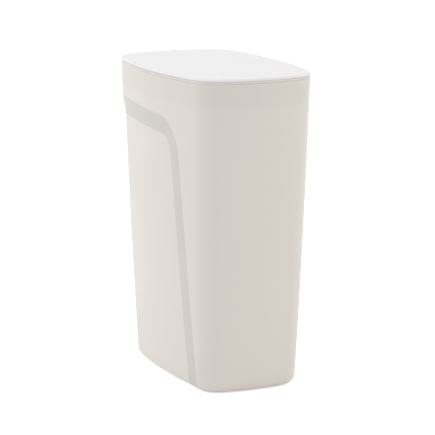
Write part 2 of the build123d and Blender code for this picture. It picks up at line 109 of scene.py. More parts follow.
class BinForm(bpy.types.PropertyGroup):
    """Sizes of the barrel and the lid"""
    top_width: FloatProperty(
        name="Top Width", description="Width of the lid across the bin",
        default=COVER_HIGH.x - COVER_LOW.x, min=0.05, unit="LENGTH")
    top_depth: FloatProperty(
        name="Top Depth", description="Depth of the lid from front to back",
        default=COVER_HIGH.y - COVER_LOW.y, min=0.05, unit="LENGTH")
    top_front_bow: FloatProperty(
        name="Top Front Bow", description="How far the front bows out at the lid",
        default=0.021, min=0.001, unit="LENGTH")
    top_side_bow: FloatProperty(
        name="Top Side Bow", description="How far the sides bow out at the lid",
        default=0.0189, min=0.001, unit="LENGTH")
    top_corner: FloatProperty(
        name="Top Corner Radius", description="Radius of the lid's corners",
        default=0.0315, min=0.001, unit="LENGTH")
    base_width: FloatProperty(
        name="Base Width", description="Width of the barrel's outline carried down to the floor",
        default=0.129, min=0.05, unit="LENGTH")
    base_depth: FloatProperty(
        name="Base Depth", description="Depth of the barrel's outline carried down to the floor",
        default=0.2236, min=0.05, unit="LENGTH")
    base_front_bow: FloatProperty(
        name="Base Front Bow", description="How far the front bows out at the base",
        default=0.0114, min=0.001, unit="LENGTH")
    base_side_bow: FloatProperty(
        name="Base Side Bow", description="How far the sides bow out at the base",
        default=0.010, min=0.001, unit="LENGTH")
    base_corner: FloatProperty(
        name="Base Corner Radius", description="Radius of the corners at the base",
        default=0.0262, min=0.001, unit="LENGTH")
    belly: FloatProperty(
        name="Belly", description="How far the walls swell out at half height",
        default=0.0012, min=0.0, unit="LENGTH")
    base_edge: FloatProperty(
        name="Base Edge Radius", description="Rounding between the walls and the underside",
        default=0.008, min=0.003, unit="LENGTH")
    wall: FloatProperty(
        name="Wall", description="Thickness of the barrel's wall",
        default=0.0022, min=0.0005, unit="LENGTH")
    floor_thickness: FloatProperty(
        name="Floor Thickness", description="Thickness of the barrel's floor",
        default=0.0025, min=0.0005, unit="LENGTH")
    recess_depth: FloatProperty(
        name="Recess Depth", description="How far the panel on the sides and back stands in",
        default=0.0025, min=0.0, unit="LENGTH")
    recess_top: FloatProperty(
        name="Recess Top", description="Height of the upper edge of the recess at the back",
        default=COVER_HIGH.z - 0.0437, min=0.05, unit="LENGTH")
    recess_fall: FloatProperty(
        name="Recess Fall",
        description="How steeply the upper edge of the recess falls towards the front",
        default=0.05, min=0.0)
    recess_fall_start: FloatProperty(
        name="Recess Fall Start",
        description="How far back the upper edge of the recess starts to fall",
        default=0.060, unit="LENGTH")
    recess_fall_blend: FloatProperty(
        name="Recess Fall Blend", description="How gently the level edge runs into the falling one",
        default=0.020, min=0.001, unit="LENGTH")
    recess_border: FloatProperty(
        name="Recess Border", description="Width of the sloped border of the recess",
        default=0.0211, min=0.002, unit="LENGTH")
    recess_corner: FloatProperty(
        name="Recess Corner Radius", description="Radius of the upper corner of the recess",
        default=0.038, min=0.002, unit="LENGTH")
    recess_softness: FloatProperty(
        name="Recess Softness", description="How softly the sloped border runs into the wall",
        default=0.0010, min=0.0002, unit="LENGTH")
    shield_top: FloatProperty(
        name="Shield Edge at the Top",
        description="Where the recess begins behind the front, at its top",
        default=-0.0642, unit="LENGTH")
    shield_base: FloatProperty(
        name="Shield Edge at the Base",
        description="Where the recess begins behind the front, at the base",
        default=-0.0852, unit="LENGTH")
    notch_half_width: FloatProperty(
        name="Notch Half Width", description="Half the width of the hinge notch in the back wall",
        default=0.054, min=0.01, unit="LENGTH")
    notch_height: FloatProperty(
        name="Notch Height", description="Height at which the hinge notch begins",
        default=0.3345, min=0.05, unit="LENGTH")
    rim_round: FloatProperty(
        name="Rim Rounding", description="Rounding of the barrel's rim and of the notch",
        default=0.0005, min=0.0001, unit="LENGTH")
    lid_edge: FloatProperty(
        name="Lid Edge", description="Height of the lid's edge",
        default=0.0018, min=0.0005, unit="LENGTH")
    lid_edge_round: FloatProperty(
        name="Lid Edge Rounding", description="Rounding of the lid's upper edge",
        default=0.0011, min=0.0001, unit="LENGTH")
    lid_lip_round: FloatProperty(
        name="Lid Lip Rounding", description="Rounding of the lid's lower edge",
        default=0.0003, min=0.0001, unit="LENGTH")
    edge_drop: FloatProperty(
        name="Edge Drop",
        description="How much lower than the cover the lid's edge hangs at the front",
        default=0.0002, min=0.00002, unit="LENGTH")
    edge_slope: FloatProperty(
        name="Edge Slope", description="How steeply the lid's edge hangs lower towards the back",
        default=0.004, min=0.0)
    edge_end: FloatProperty(
        name="Edge End", description="How far back the lid's edge hangs lower",
        default=0.108, unit="LENGTH")
    edge_fade: FloatProperty(
        name="Edge Fade", description="Length over which the lowered edge runs out",
        default=0.020, min=0.001, unit="LENGTH")
    lip_inset: FloatProperty(
        name="Lip Inset", description="How far the lip under the lid stands in from the lid's edge",
        default=0.00105, min=0.0002, unit="LENGTH")
    lip_width: FloatProperty(
        name="Lip Width", description="Thickness of the lip under the lid",
        default=0.00175, min=0.0002, unit="LENGTH")
    lip_depth: FloatProperty(
        name="Lip Depth", description="How far the lip hangs down below the lid's edge",
        default=0.0016, min=0.0002, unit="LENGTH")
    lip_end: FloatProperty(
        name="Lip End", description="How far back the lip runs",
        default=0.112, unit="LENGTH")
    boss_radius: FloatProperty(
        name="Boss Radius", description="Radius of the screw bosses under the lid cover",
        default=0.0032, min=0.001, unit="LENGTH")
    boss_hole: FloatProperty(
        name="Boss Hole", description="Radius of the holes in the screw bosses",
        default=0.00125, min=0.0002, unit="LENGTH")
    coil_wire: FloatProperty(
        name="Coil Wire", description="Radius of the latch spring's wire",
        default=0.0003, min=0.00005, unit="LENGTH")
    coil_turns: IntProperty(
        name="Coil Turns", description="Number of turns of the latch spring",
        default=5, min=1)


class BinFinish(bpy.types.PropertyGroup):
    """Colours of the bin's materials, and the painted shade on the barrel's rim band and recess
    border
    """
    barrel: FloatVectorProperty(
        name="Barrel", description="Warm off-white plastic of the barrel",
        default=(0.745, 0.701, 0.653), min=0.0, max=1.0, subtype="COLOR")
    # Painted shade: how dark the recess border is painted, standing for the shade of its sloped
    # face
    border_painted_shade: FloatProperty(
        name="Border Tone", description="Tone of the recess border, as a share of the barrel's",
        default=0.82, min=0.0, max=1.0, subtype="FACTOR")
    # Painted shade: how dark the band under the rim is painted, standing for the frame's skirt
    # keeping light from the wall
    rim_painted_shade: FloatProperty(
        name="Rim Tone", description="Tone of the band under the rim, as a share of the barrel's",
        default=0.972, min=0.0, max=1.0, subtype="FACTOR")
    collar: FloatVectorProperty(
        name="Frame", description="Warm off-white plastic of the frame under the lid",
        default=(0.745, 0.701, 0.653), min=0.0, max=1.0, subtype="COLOR")
    lid: FloatVectorProperty(
        name="Lid", description="Cool white plastic of the lid cover",
        default=(0.900, 0.885, 0.892), min=0.0, max=1.0, subtype="COLOR")
    liner: FloatVectorProperty(
        name="Lid Liner", description="White plastic of the lid's underside",
        default=(0.80, 0.785, 0.765), min=0.0, max=1.0, subtype="COLOR")
    rubber: FloatVectorProperty(
        name="Foot Rubber", description="Grey rubber of the foot pads",
        default=(0.10, 0.10, 0.10), min=0.0, max=1.0, subtype="COLOR")
    steel: FloatVectorProperty(
        name="Steel", description="Zinc-plated steel of the rod, the plate and the screws",
        default=(0.56, 0.57, 0.58), min=0.0, max=1.0, subtype="COLOR")
    spring: FloatVectorProperty(
        name="Spring Wire", description="Darker steel of the springs",
        default=(0.33, 0.33, 0.35), min=0.0, max=1.0, subtype="COLOR")
    dark_plastic: FloatVectorProperty(
        name="Damper", description="Dark plastic of the damper",
        default=(0.045, 0.045, 0.048), min=0.0, max=1.0, subtype="COLOR")
    gear: FloatVectorProperty(
        name="Gear", description="Natural plastic of the damper's pinion",
        default=(0.70, 0.69, 0.64), min=0.0, max=1.0, subtype="COLOR")
    latch: FloatVectorProperty(
        name="Latch", description="Pale plastic of the latch housing",
        default=(0.62, 0.61, 0.59), min=0.0, max=1.0, subtype="COLOR")
    plunger: FloatVectorProperty(
        name="Plunger", description="Grey plastic of the latch plunger",
        default=(0.40, 0.40, 0.41), min=0.0, max=1.0, subtype="COLOR")


class BinStage(bpy.types.PropertyGroup):
    """Camera and light"""
    azimuth: FloatProperty(
        name="Azimuth", description="Camera's bearing from the front, to the left when negative",
        default=math.radians(-24.64), subtype="ANGLE")
    elevation: FloatProperty(
        name="Elevation", description="Camera's angle above the horizon",
        default=math.radians(11.31), subtype="ANGLE")
    distance: FloatProperty(
        name="Distance", description="Distance from the camera to its aim",
        default=2.595, min=0.1, unit="LENGTH")
    aim_height: FloatProperty(
        name="Aim Height", description="Height of the point that the camera aims at",
        default=0.17505, unit="LENGTH")
    aside: FloatProperty(
        name="Sideways", description="How far camera and aim stand to the camera's right",
        default=0.00455, unit="LENGTH")
    lens: FloatProperty(
        name="Lens", description="Focal length of the camera on a 36 mm sensor, in millimetres",
        default=190.33, min=10.0)
    sky: FloatProperty(
        name="Sky", description="Strength of the soft light from all round",
        default=0.765, min=0.0)
    key: FloatProperty(
        name="Key Light", description="Power of the large lamp at the upper left",
        default=20.0, min=0.0, subtype="POWER")
    fill: FloatProperty(
        name="Fill Light", description="Power of the large lamp at the front",
        default=16.5, min=0.0, subtype="POWER")
    floor: FloatVectorProperty(
        name="Floor", description="Colour of the floor",
        default=(0.92, 0.92, 0.92), min=0.0, max=1.0, subtype="COLOR")
    floor_lift: FloatProperty(
        name="Floor Lift",
        description="Light added to the floor for the camera, so that it shows white",
        default=0.60, min=0.0)


# Outline of the bin: a bowed rectangle with round corners

def ring_spots(width, depth, front_bow, side_bow, corner):
    """Ends and middles of the eight arcs, anticlockwise from the front right corner's front end."""
    half_width = width / 2
    half_depth = depth / 2
    front_radius = (half_width ** 2 + front_bow ** 2) / (2 * front_bow)
    side_radius = (half_depth ** 2 + side_bow ** 2) / (2 * side_bow)
    front_centre = Vector((0.0, front_radius - half_depth))
    side_centre = Vector((half_width - side_radius, 0.0))
    apart = side_centre - front_centre
    near = front_radius - corner
    far = side_radius - corner
    along = (near ** 2 - far ** 2 + apart.length_squared) / (2 * apart.length)
    across = math.sqrt(near ** 2 - along ** 2)
    heading = apart.normalized()
    sideways = Vector((-heading.y, heading.x))
    corner_centre = front_centre + heading * along + sideways * across
    front_heading = (corner_centre - front_centre).normalized()
    side_heading = (corner_centre - side_centre).normalized()
    quarter = [
        front_centre + front_heading * front_radius,
        corner_centre + (front_heading + side_heading).normalized() * corner,
        side_centre + side_heading * side_radius,
    ]
    front_right = quarter + [Vector((half_width, 0.0))]
    back_right = [Vector((spot.x, -spot.y)) for spot in reversed(quarter)]
    back_right.append(Vector((0.0, half_depth)))
    back_left = [Vector((-spot.x, -spot.y)) for spot in quarter]
    back_left.append(Vector((-half_width, 0.0)))
    front_left = [Vector((-spot.x, spot.y)) for spot in reversed(quarter)]
    front_left.append(Vector((0.0, -half_depth)))
    return front_right + back_right + back_left + front_left


class Arc:
    """An arc through three points, from the first to the last."""

    def __init__(self, start, middle, end):
        one = middle - start
        two = end - start
        twice = 2 * one.cross(two)
        lift = (one.length_squared * two.y - two.length_squared * one.y) / twice
        drift = (two.length_squared * one.x - one.length_squared * two.x) / twice
        self.centre = start + Vector((lift, drift))
        spoke = start - self.centre
        last = end - self.centre
        self.radius = spoke.length
        self.start_angle = math.atan2(spoke.y, spoke.x)
        self.sweep = (math.atan2(last.y, last.x) - self.start_angle) % (2 * math.pi)

    def at(self, share):
        """The point at that share of the arc, and the outward direction there."""
        angle = self.start_angle + self.sweep * share
        outward = Vector((math.cos(angle), math.sin(angle)))
        return self.centre + outward * self.radius, outward


class Outline:
    """The bin's outline at every height, straight from the base to the lid."""

    def __init__(self, form):
        self.base_z = BARREL_LOW.z
        self.top_z = COVER_HIGH.z
        self.base = ring_spots(
            form.base_width, form.base_depth,
            form.base_front_bow, form.base_side_bow, form.base_corner)
        self.top = ring_spots(
            form.top_width, form.top_depth,
            form.top_front_bow, form.top_side_bow, form.top_corner)

    def arcs(self, height):
        """The eight arcs of the outline at that height."""
        share = (height - self.base_z) / (self.top_z - self.base_z)
        spots = [low.lerp(high, share) for low, high in zip(self.base, self.top)]
        spots.append(spots[0])
        return [Arc(*spots[first:first + 3]) for first in range(0, len(spots) - 1, 2)]


def along_arcs(arcs, place):
    """Point and outward direction at a place: the number of an arc plus a share of it."""
    number = min(int(place), len(arcs) - 1)
    return arcs[number].at(place - number)


def even_places(shift=0.0):
    """Places that divide every arc evenly, moved on by that share of a step."""
    places = []
    for number, steps in enumerate(ARC_STEPS):
        places.extend([number + (step + shift) / steps for step in range(steps)])
    return places


def barrel_places():
    """Places round the barrel, close together where the border of the recess runs down."""
    shares = []
    start = 0.0
    for end, steps in SIDE_ZONES:
        shares.extend([start + (end - start) * step / steps for step in range(steps)])
        start = end
    places = [place for place in even_places() if int(place) not in (RIGHT_SIDE, LEFT_SIDE)]
    places.extend([RIGHT_SIDE + share for share in shares])
    places.extend([LEFT_SIDE + 1 - share for share in shares[1:] + [1.0]])
    return sorted(places)


def mirrored(place):
    """The same place on the other side of the back's middle."""
    return 2 * BACK_MIDDLE - place


def place_of_x(arcs, x):
    """Where the back of the outline crosses that x, on the right-hand side."""
    low = BACK_RIGHT_CORNER
    high = BACK_MIDDLE
    for _ in range(HALVINGS):
        middle = (low + high) / 2
        if along_arcs(arcs, middle)[0].x > x:
            low = middle
        else:
            high = middle
    return low


# Mesh helpers

def mesh_piece(name, points, faces, material):
    """A smooth-shaded mesh object with that material, sharp where its faces meet steeply."""
    mesh = bpy.data.meshes.new(name)
    mesh.from_pydata(points, [], faces)
    mesh.validate()
    mesh.materials.append(material)
    mesh.polygons.foreach_set("use_smooth", [True] * len(mesh.polygons))
    mesh.set_sharp_from_angle(angle=SHARP_SHADE)
    mesh.update()
    piece = bpy.data.objects.new(name, mesh)
    bpy.context.scene.collection.objects.link(piece)
    return piece


def add_row(points, row):
    """Adds a row of points and gives their numbers."""
    start = len(points)
    points.extend(row)
    return list(range(start, len(points)))


def bridge(faces, lower, upper, inside=False, only=None):
    """Quads between two closed rings of point numbers, facing out, or in for an inside wall."""
    count = len(lower)
    for index in range(count) if only is None else only:
        after = (index + 1) % count
        quad = (lower[index], lower[after], upper[after], upper[index])
        faces.append(quad[::-1] if inside else quad)


def close_ring(points, faces, ring, shares, facing_up):
    """Fills a level ring with smaller rings, at those shares of it, and wedges in the middle."""
    edge = [points[number] for number in ring]
    last = ring
    for share in shares:
        smaller = add_row(points, [(x * share, y * share, z) for x, y, z in edge])
        bridge(faces, last, smaller, inside=not facing_up)
        last = smaller
    middle = len(points)
    points.append((0.0, 0.0, edge[0][2]))
    for index, number in enumerate(last):
        wedge = (number, last[(index + 1) % len(last)], middle)
        faces.append(wedge if facing_up else wedge[::-1])


def keep_used(points, faces, values):
    """Drops the points that no face uses, in place, and gives the values of the others."""
    used = sorted({number for face in faces for number in face})
    place = {number: new for new, number in enumerate(used)}
    points[:] = [points[number] for number in used]
    faces[:] = [tuple(place[number] for number in face) for face in faces]
    return [values[number] for number in used]


def melt(piece, other):
    """Joins another piece's closed shapes with this piece, leaves no faces inside, deletes it."""
    joining = piece.modifiers.new("Join", "BOOLEAN")
    joining.operation = "UNION"
    joining.solver = "EXACT"
    joining.object = other
    shown = piece.evaluated_get(bpy.context.evaluated_depsgraph_get())
    mesh = bpy.data.meshes.new_from_object(shown)
    piece.modifiers.clear()
    piece.data = mesh
    bpy.data.objects.remove(other)
    mesh.set_sharp_from_angle(angle=SHARP_SHADE)


def round_edges(piece, width):
    """Rounds the sharp edges that stand out, and leaves those in inside corners."""
    work = bmesh.new()
    work.from_mesh(piece.data)
    weight = work.edges.layers.float.new("bevel_weight_edge")
    for edge in work.edges:
        if edge.is_convex and edge.calc_face_angle() > SHARP_EDGE:
            edge[weight] = 1.0
    work.to_mesh(piece.data)
    work.free()
    rounding = piece.modifiers.new("Rim rounding", "BEVEL")
    rounding.width = width
    rounding.segments = RIM_SEGMENTS
    rounding.limit_method = "WEIGHT"
    rounding.harden_normals = True


# Barrel

def soft_ramp(way, softness):
    """Nothing before zero and the way itself after it, with a rounded bend between."""
    return (way + math.hypot(way, softness)) / 2


def recess_run(form, y, z):
    """How far that spot of the wall lies inside the edge of the recess."""
    share = (z - BARREL_LOW.z) / (form.recess_top - BARREL_LOW.z)
    edge_y = form.shield_base + (form.shield_top - form.shield_base) * share
    behind = y - edge_y
    fall = form.recess_fall * soft_ramp(form.recess_fall_start - y, form.recess_fall_blend)
    below = form.recess_top - fall - z
    radius = form.recess_corner
    if behind < radius and below < radius:
        return radius - math.hypot(radius - behind, radius - below)
    return min(behind, below)


def recess_in(form, run):
    """How far the wall stands in at that run from the edge of the recess."""
    start = soft_ramp(run, form.recess_softness)
    end = soft_ramp(run - form.recess_border, form.recess_softness)
    return form.recess_depth * (start - end) / form.recess_border


def belly_out(form, height):
    """How far the wall swells out at that height."""
    share = (height - BARREL_LOW.z) / (BARREL_HIGH.z - BARREL_LOW.z)
    return form.belly * 4 * share * (1 - share)


def wall_heights(form, low):
    """Heights of the rows up a wall, close together where the recess begins, then sill and rim."""
    lowest = form.recess_top - form.recess_fall * (form.recess_fall_start - form.shield_top)
    fine_low = lowest - form.recess_corner - form.recess_border / 2
    fine_high = form.recess_top + 2 * form.recess_softness
    heights = []
    height = low
    while height < form.notch_height - FINE_ROW:
        heights.append(height)
        height += FINE_ROW if fine_low < height < fine_high else COARSE_ROW
    return heights + [form.notch_height, BARREL_HIGH.z]


def barrel_rows(form, places, notch_edges, inset, low, edge_round):
    """Rows of points from the floor up to the rim, for the wall at that inset."""
    levels = []
    for step in range(ROUND_STEPS):
        swing = math.pi / 2 * step / ROUND_STEPS
        curl = edge_round * (1 - math.sin(swing))
        levels.append((low + edge_round * (1 - math.cos(swing)), curl))
    levels.extend([(height, 0.0) for height in wall_heights(form, low + edge_round)])
    outline = Outline(form)
    rows = []
    for height, curl in levels:
        arcs = outline.arcs(height)
        edge_place = place_of_x(arcs, form.notch_half_width)
        row = []
        for place in places:
            if height >= form.notch_height and place in notch_edges:
                place = edge_place if place < BACK_MIDDLE else mirrored(edge_place)
            spot, outward = along_arcs(arcs, place)
            sunk = recess_in(form, recess_run(form, spot.y, height)) - belly_out(form, height)
            spot = spot - outward * (inset + curl + sunk)
            row.append((spot.x, spot.y, height))
        rows.append(row)
    return rows


def add_wall(faces, rows, standing, inside):
    """Quads up a wall, which between sill and rim has only its standing part."""
    for lower, upper in zip(rows, rows[1:]):
        bridge(faces, lower, upper, inside, standing if upper is rows[-1] else None)


def build_barrel(form, material):
    """The barrel: walls, floor, rim and the hinge notch in its back."""
    arcs = Outline(form).arcs(form.notch_height)
    edge_place = place_of_x(arcs, form.notch_half_width)
    notch_edges = (edge_place, mirrored(edge_place))
    half_step = 0.5 / max(ARC_STEPS)
    places = [place for place in barrel_places()
              if min(abs(place - edge) for edge in notch_edges) > half_step]
    places = sorted(places + list(notch_edges))
    first, last = [places.index(edge) for edge in notch_edges]
    notch = range(first, last)
    standing = [index for index in range(len(places)) if index not in notch]
    points = []
    faces = []
    rows = barrel_rows(form, places, notch_edges, 0.0, BARREL_LOW.z, form.base_edge)
    outer = [add_row(points, row) for row in rows]
    runs = [recess_run(form, y, z) for x, y, z in points]
    floor_z = BARREL_LOW.z + form.floor_thickness
    rows = barrel_rows(
        form, places, notch_edges, form.wall, floor_z, form.base_edge - form.wall)
    inner = [add_row(points, row) for row in rows]
    add_wall(faces, outer, standing, inside=False)
    add_wall(faces, inner, standing, inside=True)
    close_ring(points, faces, outer[0], FLOOR_RINGS, facing_up=False)
    close_ring(points, faces, inner[0], FLOOR_RINGS, facing_up=True)
    outer_sill, outer_rim = outer[-2:]
    inner_sill, inner_rim = inner[-2:]
    bridge(faces, outer_rim, inner_rim, only=standing)
    bridge(faces, outer_sill, inner_sill, only=notch)
    faces.append((outer_sill[first], inner_sill[first], inner_rim[first], outer_rim[first]))
    faces.append((outer_sill[last], outer_rim[last], inner_rim[last], inner_sill[last]))
    runs.extend([NO_RECESS] * (len(points) - len(runs)))
    runs = keep_used(points, faces, runs)
    barrel = mesh_piece("barrel_shell", points, faces, material)
    attribute = barrel.data.attributes.new(RECESS_RUN, "FLOAT", "POINT")
    attribute.data.foreach_set("value", runs)
    round_edges(barrel, form.rim_round)
    return barrel


# Lid cover

def add_lip(points, faces, form, spots, bottom):
    """The lip round the front and sides, which hides the gap over the frame."""
    behind = [index for index, (spot, _) in enumerate(spots) if spot.y > form.lip_end]
    run = spots[behind[-1] + 1:] + spots[:behind[0]]
    outer = form.lip_inset
    inner = form.lip_inset + form.lip_width
    soft = form.lip_width * LIP_CHAMFER
    sunk = bottom + form.lid_edge * SUNK_SHARE
    low = bottom - form.lip_depth
    profile = ((outer, sunk), (outer, low + soft), (outer + soft, low),
               (inner - soft, low), (inner, low + soft), (inner, sunk))
    rings = []
    for spot, outward in run:
        row = [(*(spot - outward * inset), height) for inset, height in profile]
        rings.append(add_row(points, row))
    for near, far in zip(rings, rings[1:]):
        bridge(faces, near, far)
    faces.append(tuple(reversed(rings[0])))
    faces.append(tuple(rings[-1]))


def add_boss(points, faces, form, x, y, low, bottom):
    """A screw boss under the cover: a round post with a blind hole."""
    post = form.boss_radius
    hole = form.boss_hole
    soft = hole * BOSS_CHAMFER
    sunk = bottom + form.lid_edge * SUNK_SHARE
    profile = ((post, sunk), (post, low + soft), (post - soft, low),
               (hole + soft, low), (hole, low + soft), (hole, bottom - soft))
    turns = [2 * math.pi * (side + 0.5) / BOSS_SIDES for side in range(BOSS_SIDES)]
    rings = []
    for radius, height in profile:
        row = [(x + radius * math.cos(turn), y + radius * math.sin(turn), height)
               for turn in turns]
        rings.append(add_row(points, row))
    for upper, lower in zip(rings, rings[1:]):
        bridge(faces, lower, upper)
    faces.append(tuple(rings[0]))
    faces.append(tuple(reversed(rings[-1])))


def screw_spots():
    """Where the lid's screws stand, read from the frame."""
    groups = []
    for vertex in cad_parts["lid_screws"].data.vertices:
        place = Vector((vertex.co.x, vertex.co.y))
        for group in groups:
            if (group[0] - place).length < SCREW_REACH:
                group.append(place)
                break
        else:
            groups.append([place])
    middles = []
    for group in groups:
        across = [place.x for place in group]
        along = [place.y for place in group]
        middles.append(((min(across) + max(across)) / 2, (min(along) + max(along)) / 2))
    return middles


def edge_drop(form, y):
    """How far the lid's edge hangs lower there, so that the gap closes evenly under a press."""
    drop = form.edge_drop + form.edge_slope * (y - COVER_LOW.y)
    left = min(max((form.edge_end - y) / form.edge_fade, 0.0), 1.0)
    return max(drop * left, EDGE_LEAST)


def cover_profile(form, bottom):
    """The lid's edge from below: inset, height, and one where the lowered edge hangs."""
    under = form.lip_inset + form.lip_width / 2
    profile = [(under, bottom, 0.0), (under, bottom, 1.0), (form.lid_lip_round * 2, bottom, 1.0)]
    for step in range(LOWER_ROUND_STEPS + 1):
        swing = math.pi / 2 * step / LOWER_ROUND_STEPS
        inset = form.lid_lip_round * (1 - math.sin(swing))
        profile.append((inset, bottom + form.lid_lip_round * (1 - math.cos(swing)), 1.0))
    for step in range(ROUND_STEPS + 1):
        swing = math.pi / 2 * step / ROUND_STEPS
        inset = form.lid_edge_round * (1 - math.cos(swing))
        height = COVER_HIGH.z - form.lid_edge_round * (1 - math.sin(swing))
        profile.append((inset, height, 0.0))
    profile.append((form.lid_edge_round * 2, COVER_HIGH.z, 0.0))
    return profile


def build_cover(form, material):
    """The lid cover with its lip and its screw bosses."""
    arcs = Outline(form).arcs(COVER_HIGH.z)
    spots = [along_arcs(arcs, place) for place in even_places()]
    bottom = COVER_HIGH.z - form.lid_edge
    points = []
    faces = []
    rings = []
    for inset, height, hang in cover_profile(form, bottom):
        row = [(*(spot - outward * inset), height - hang * edge_drop(form, spot.y))
               for spot, outward in spots]
        rings.append(add_row(points, row))
    for lower, upper in zip(rings, rings[1:]):
        bridge(faces, lower, upper)
    close_ring(points, faces, rings[-1], LID_RINGS, facing_up=True)
    close_ring(points, faces, rings[0], LID_RINGS, facing_up=False)
    cover = mesh_piece("lid_panel", points, faces, material)
    points = []
    faces = []
    # Half a step on, so that no edge of the lip lies on an edge of the cover
    between = [along_arcs(arcs, place) for place in even_places(0.5)]
    add_lip(points, faces, form, between, bottom)
    for x, y in screw_spots():
        add_boss(points, faces, form, x, y, COVER_LOW.z, bottom)
    melt(cover, mesh_piece("lid_underside", points, faces, material))
    return cover


# Latch spring

def build_coil(form, low, high, material):
    """A coil spring of round wire that fills that box."""
    middle = (low + high) / 2
    wire = form.coil_wire
    radius = (high.x - low.x) / 2 - wire
    rise = high.z - low.z - 2 * wire
    slope = rise / (2 * math.pi * form.coil_turns)
    turns = [2 * math.pi * side / WIRE_SIDES for side in range(WIRE_SIDES)]
    steps = form.coil_turns * COIL_STEPS
    points = []
    faces = []
    rings = []
    for step in range(steps + 1):
        angle = 2 * math.pi * step / COIL_STEPS
        outward = Vector((math.cos(angle), math.sin(angle), 0.0))
        run = Vector((-radius * outward.y, radius * outward.x, slope)).normalized()
        across = run.cross(outward)
        foot = Vector((middle.x, middle.y, low.z + wire + rise * step / steps))
        centre = foot + outward * radius
        row = [centre + (outward * math.cos(turn) + across * math.sin(turn)) * wire
               for turn in turns]
        rings.append(add_row(points, row))
    for lower, upper in zip(rings, rings[1:]):
        bridge(faces, lower, upper)
    faces.append(tuple(reversed(rings[0])))
    faces.append(tuple(rings[-1]))
    return mesh_piece("latch_coil", points, faces, material)


# Shader node groups

NO_TURN = (0.0, 0.0, 0.0)

# Moulded grain: scales of its slow drift and of its upright flow, how flow is drawn out, and how
# far grain and drift move tone and roughness
DRIFT_SCALE = 9.0
FLOW_SCALE = 34.0
FLOW_STRETCH = (1.0, 1.0, 0.22)
GRAIN_TONE = 0.012
GRAIN_ROUGHNESS = 0.10
DRIFT_ROUGHNESS = 0.12

# Handling marks: turn and scales of both sets of hairs, and where noise begins to show as marks
HAIRS = (((0.3, 0.5, 0.7), (900.0, 14.0, 14.0)), ((0.9, 0.2, 2.1), (760.0, 11.0, 18.0)))
HAIR_EDGE = (0.70, 0.76)
PATCH_SCALE = 26.0
PATCH_EDGE = (0.50, 0.68)

# Drawn metal: its lines and dull spots, how dark they are, and how much rougher
LINE_STRETCH = (90.0, 5200.0, 5200.0)
LINE_TONE = 0.82
LINE_ROUGHNESS = 0.14
SPOT_SCALE = 420.0
SPOT_EDGE = (0.45, 0.7)
SPOT_SHARE = 0.25
SPOT_TONE = 0.55
SPOT_ROUGHNESS = 0.18


def new_group(name, inputs, outputs):
    """An empty shader node group with those named sockets, and its input and output nodes."""
    group = bpy.data.node_groups.new(name, "ShaderNodeTree")
    for label, kind, default in inputs:
        socket = group.interface.new_socket(label, in_out="INPUT", socket_type=kind)
        socket.default_value = default
    for label, kind in outputs:
        group.interface.new_socket(label, in_out="OUTPUT", socket_type=kind)
    return group, group.nodes.new("NodeGroupInput"), group.nodes.new("NodeGroupOutput")


def feed(tree, socket, value):
    """Sets a socket to a number, or links another socket to it."""
    if isinstance(value, (int, float)):
        socket.default_value = value
    else:
        tree.links.new(value, socket)


def math_node(tree, operation, one, two, clamp=False):
    """A math node whose inputs are sockets or numbers."""
    node = tree.nodes.new("ShaderNodeMath")
    node.operation = operation
    node.use_clamp = clamp
    feed(tree, node.inputs[0], one)
    feed(tree, node.inputs[1], two)
    return node.outputs[0]


def rest_of(tree, share):
    """One less that share."""
    return math_node(tree, "SUBTRACT", 1.0, share)


def swung(tree, noise, amount):
    """A noise moved to swing about nothing, times that amount."""
    return math_node(tree, "MULTIPLY", math_node(tree, "SUBTRACT", noise, 0.5), amount)


def range_node(tree, value, low, high, to_low, to_high, smooth=False):
    """A value carried over from one range to another."""
    node = tree.nodes.new("ShaderNodeMapRange")
    if smooth:
        node.interpolation_type = "SMOOTHSTEP"
    tree.links.new(value, node.inputs["Value"])
    node.inputs["From Min"].default_value = low
    node.inputs["From Max"].default_value = high
    node.inputs["To Min"].default_value = to_low
    node.inputs["To Max"].default_value = to_high
    return node.outputs["Result"]


def within(tree, value, rise, fall):
    """One between two soft edges, each given by where it begins and ends, and nothing outside."""
    up = range_node(tree, value, *rise, 0.0, 1.0, smooth=True)
    down = range_node(tree, value, *fall, 1.0, 0.0, smooth=True)
    return math_node(tree, "MULTIPLY", up, down)


def object_place(tree):
    """The place in the object's own coordinates."""
    return tree.nodes.new("ShaderNodeTexCoord").outputs["Object"]


def noise_node(tree, place, scale, detail):
    """A noise texture's value, with a scale that is a socket or a number."""
    node = tree.nodes.new("ShaderNodeTexNoise")
    tree.links.new(place, node.inputs["Vector"])
    feed(tree, node.inputs["Scale"], scale)
    node.inputs["Detail"].default_value = detail
    return node.outputs["Fac"]


def stretched(tree, place, turn, scale):
    """The place turned, and then scaled along the turned axes."""
    node = tree.nodes.new("ShaderNodeMapping")
    node.vector_type = "TEXTURE"
    node.inputs["Rotation"].default_value = turn
    node.inputs["Scale"].default_value = [1 / part for part in scale]
    tree.links.new(place, node.inputs["Vector"])
    return node.outputs["Vector"]


def shaded(tree, colour, grey):
    """A colour times a grey."""
    node = tree.nodes.new("ShaderNodeVectorMath")
    node.operation = "SCALE"
    tree.links.new(colour, node.inputs[0])
    tree.links.new(grey, node.inputs["Scale"])
    return node.outputs["Vector"]


def tinted(tree, colour, share, dark):
    """A colour times a grey that runs from dark to one as the share runs from nothing to one."""
    return shaded(tree, colour, range_node(tree, share, 0.0, 1.0, dark, 1.0))


